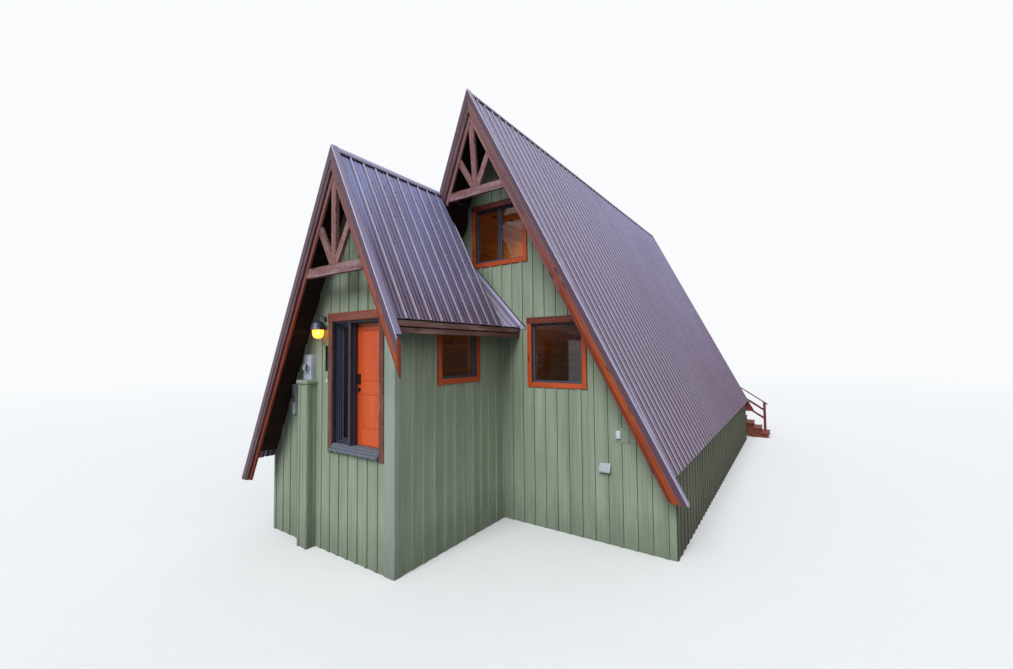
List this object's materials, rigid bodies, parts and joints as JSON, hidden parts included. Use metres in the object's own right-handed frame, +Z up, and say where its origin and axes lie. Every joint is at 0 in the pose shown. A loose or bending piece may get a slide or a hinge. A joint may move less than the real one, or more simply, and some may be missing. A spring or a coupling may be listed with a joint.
{
  "type": "a-frame cabin",
  "caption": "A-frame cabin with steep ribbed metal roof, leaning front rakes, gable trusses and a lower A-frame entry wing; the entry door swings inward.",
  "frame": {"origin": "middle of the footprint box, stair included, at the height of the lowest point where the walls meet the ground", "axes": "+X to the right seen from the front gables, +Y from the entry wing to the rear deck along the ridge, +Z up"},
  "size_m": [7.7716, 16.141, 8.4387],
  "materials": {
    "siding": "painted sage green boards and battens",
    "inside_wood": "clear satin boards",
    "roof_boards": "dark stained boards",
    "roofing": "satin plum-brown ribbed sheet",
    "rake_boards": "weathered red-brown stain",
    "truss_timber": "weathered brown stain",
    "casing_wood": "orange-brown stain",
    "window_frame": "dark grey satin",
    "glass": "clear",
    "entry_posts": "red-brown stain",
    "door_wood": "orange-brown satin varnish",
    "black_metal": "black satin",
    "lantern_metal": "dark bronze satin",
    "amber_glass": "ribbed amber glass",
    "grey_metal": "light grey satin",
    "fittings": "matte grey",
    "deck_wood": "red-brown deck stain"
  },
  "bodies": {
    "cabin": {"wing_wall_left": "siding", "wing_wall_right": "siding", "wing_wall_over_door": "siding", "wing_wall_under_door": "siding", "wing_side_wall": "siding", "main_wall_right": "siding", "main_wall_upper": "siding", "main_rear_wall": "siding", "right_skirt_wall": "siding", "left_skirt_wall": "siding", "main_floor": "inside_wood", "wing_floor": "inside_wood", "loft_floor": "inside_wood", "right_roof_deck": "roof_boards", "left_roof_deck": "roof_boards", "wing_roof_deck": "roof_boards", "cricket_deck": "roof_boards", "right_roofing": "roofing", "left_roofing": "roofing", "wing_roofing": "roofing", "ridge_caps": "roofing", "rake_trims": "roofing", "front_barge_right": "rake_boards", "front_barge_left": "rake_boards", "rear_barge_right": "rake_boards", "rear_barge_left": "rake_boards", "wing_barge_left": "rake_boards", "wing_barge_right": "rake_boards", "main_gable_truss": "truss_timber", "wing_gable_truss": "truss_timber", "eave_fascia": "rake_boards", "window_casings": "casing_wood", "window_sashes": "window_frame", "window_glass": "glass", "entry_frame": "window_frame", "entry_trim": "entry_posts", "wall_lantern": "lantern_metal", "lantern_glass": "amber_glass", "meter_box": "grey_metal", "meter_enclosure": "siding", "wall_fixtures": "fittings", "rear_deck": "deck_wood", "rear_stair": "deck_wood", "rear_railing": "deck_wood", "side_railing": "deck_wood", "stair_railing": "deck_wood"},
    "door": {"entry_door": "door_wood", "door_hardware": "black_metal"}
  },
  "joints": [
    {"name": "entry_door_hinge", "type": "hinge", "parent": "cabin", "child": "door", "pos_m": [-0.49548, -7.3805, 2.8585], "axis": [0, 0, -1], "range_deg": [0, 90]}
  ]
}
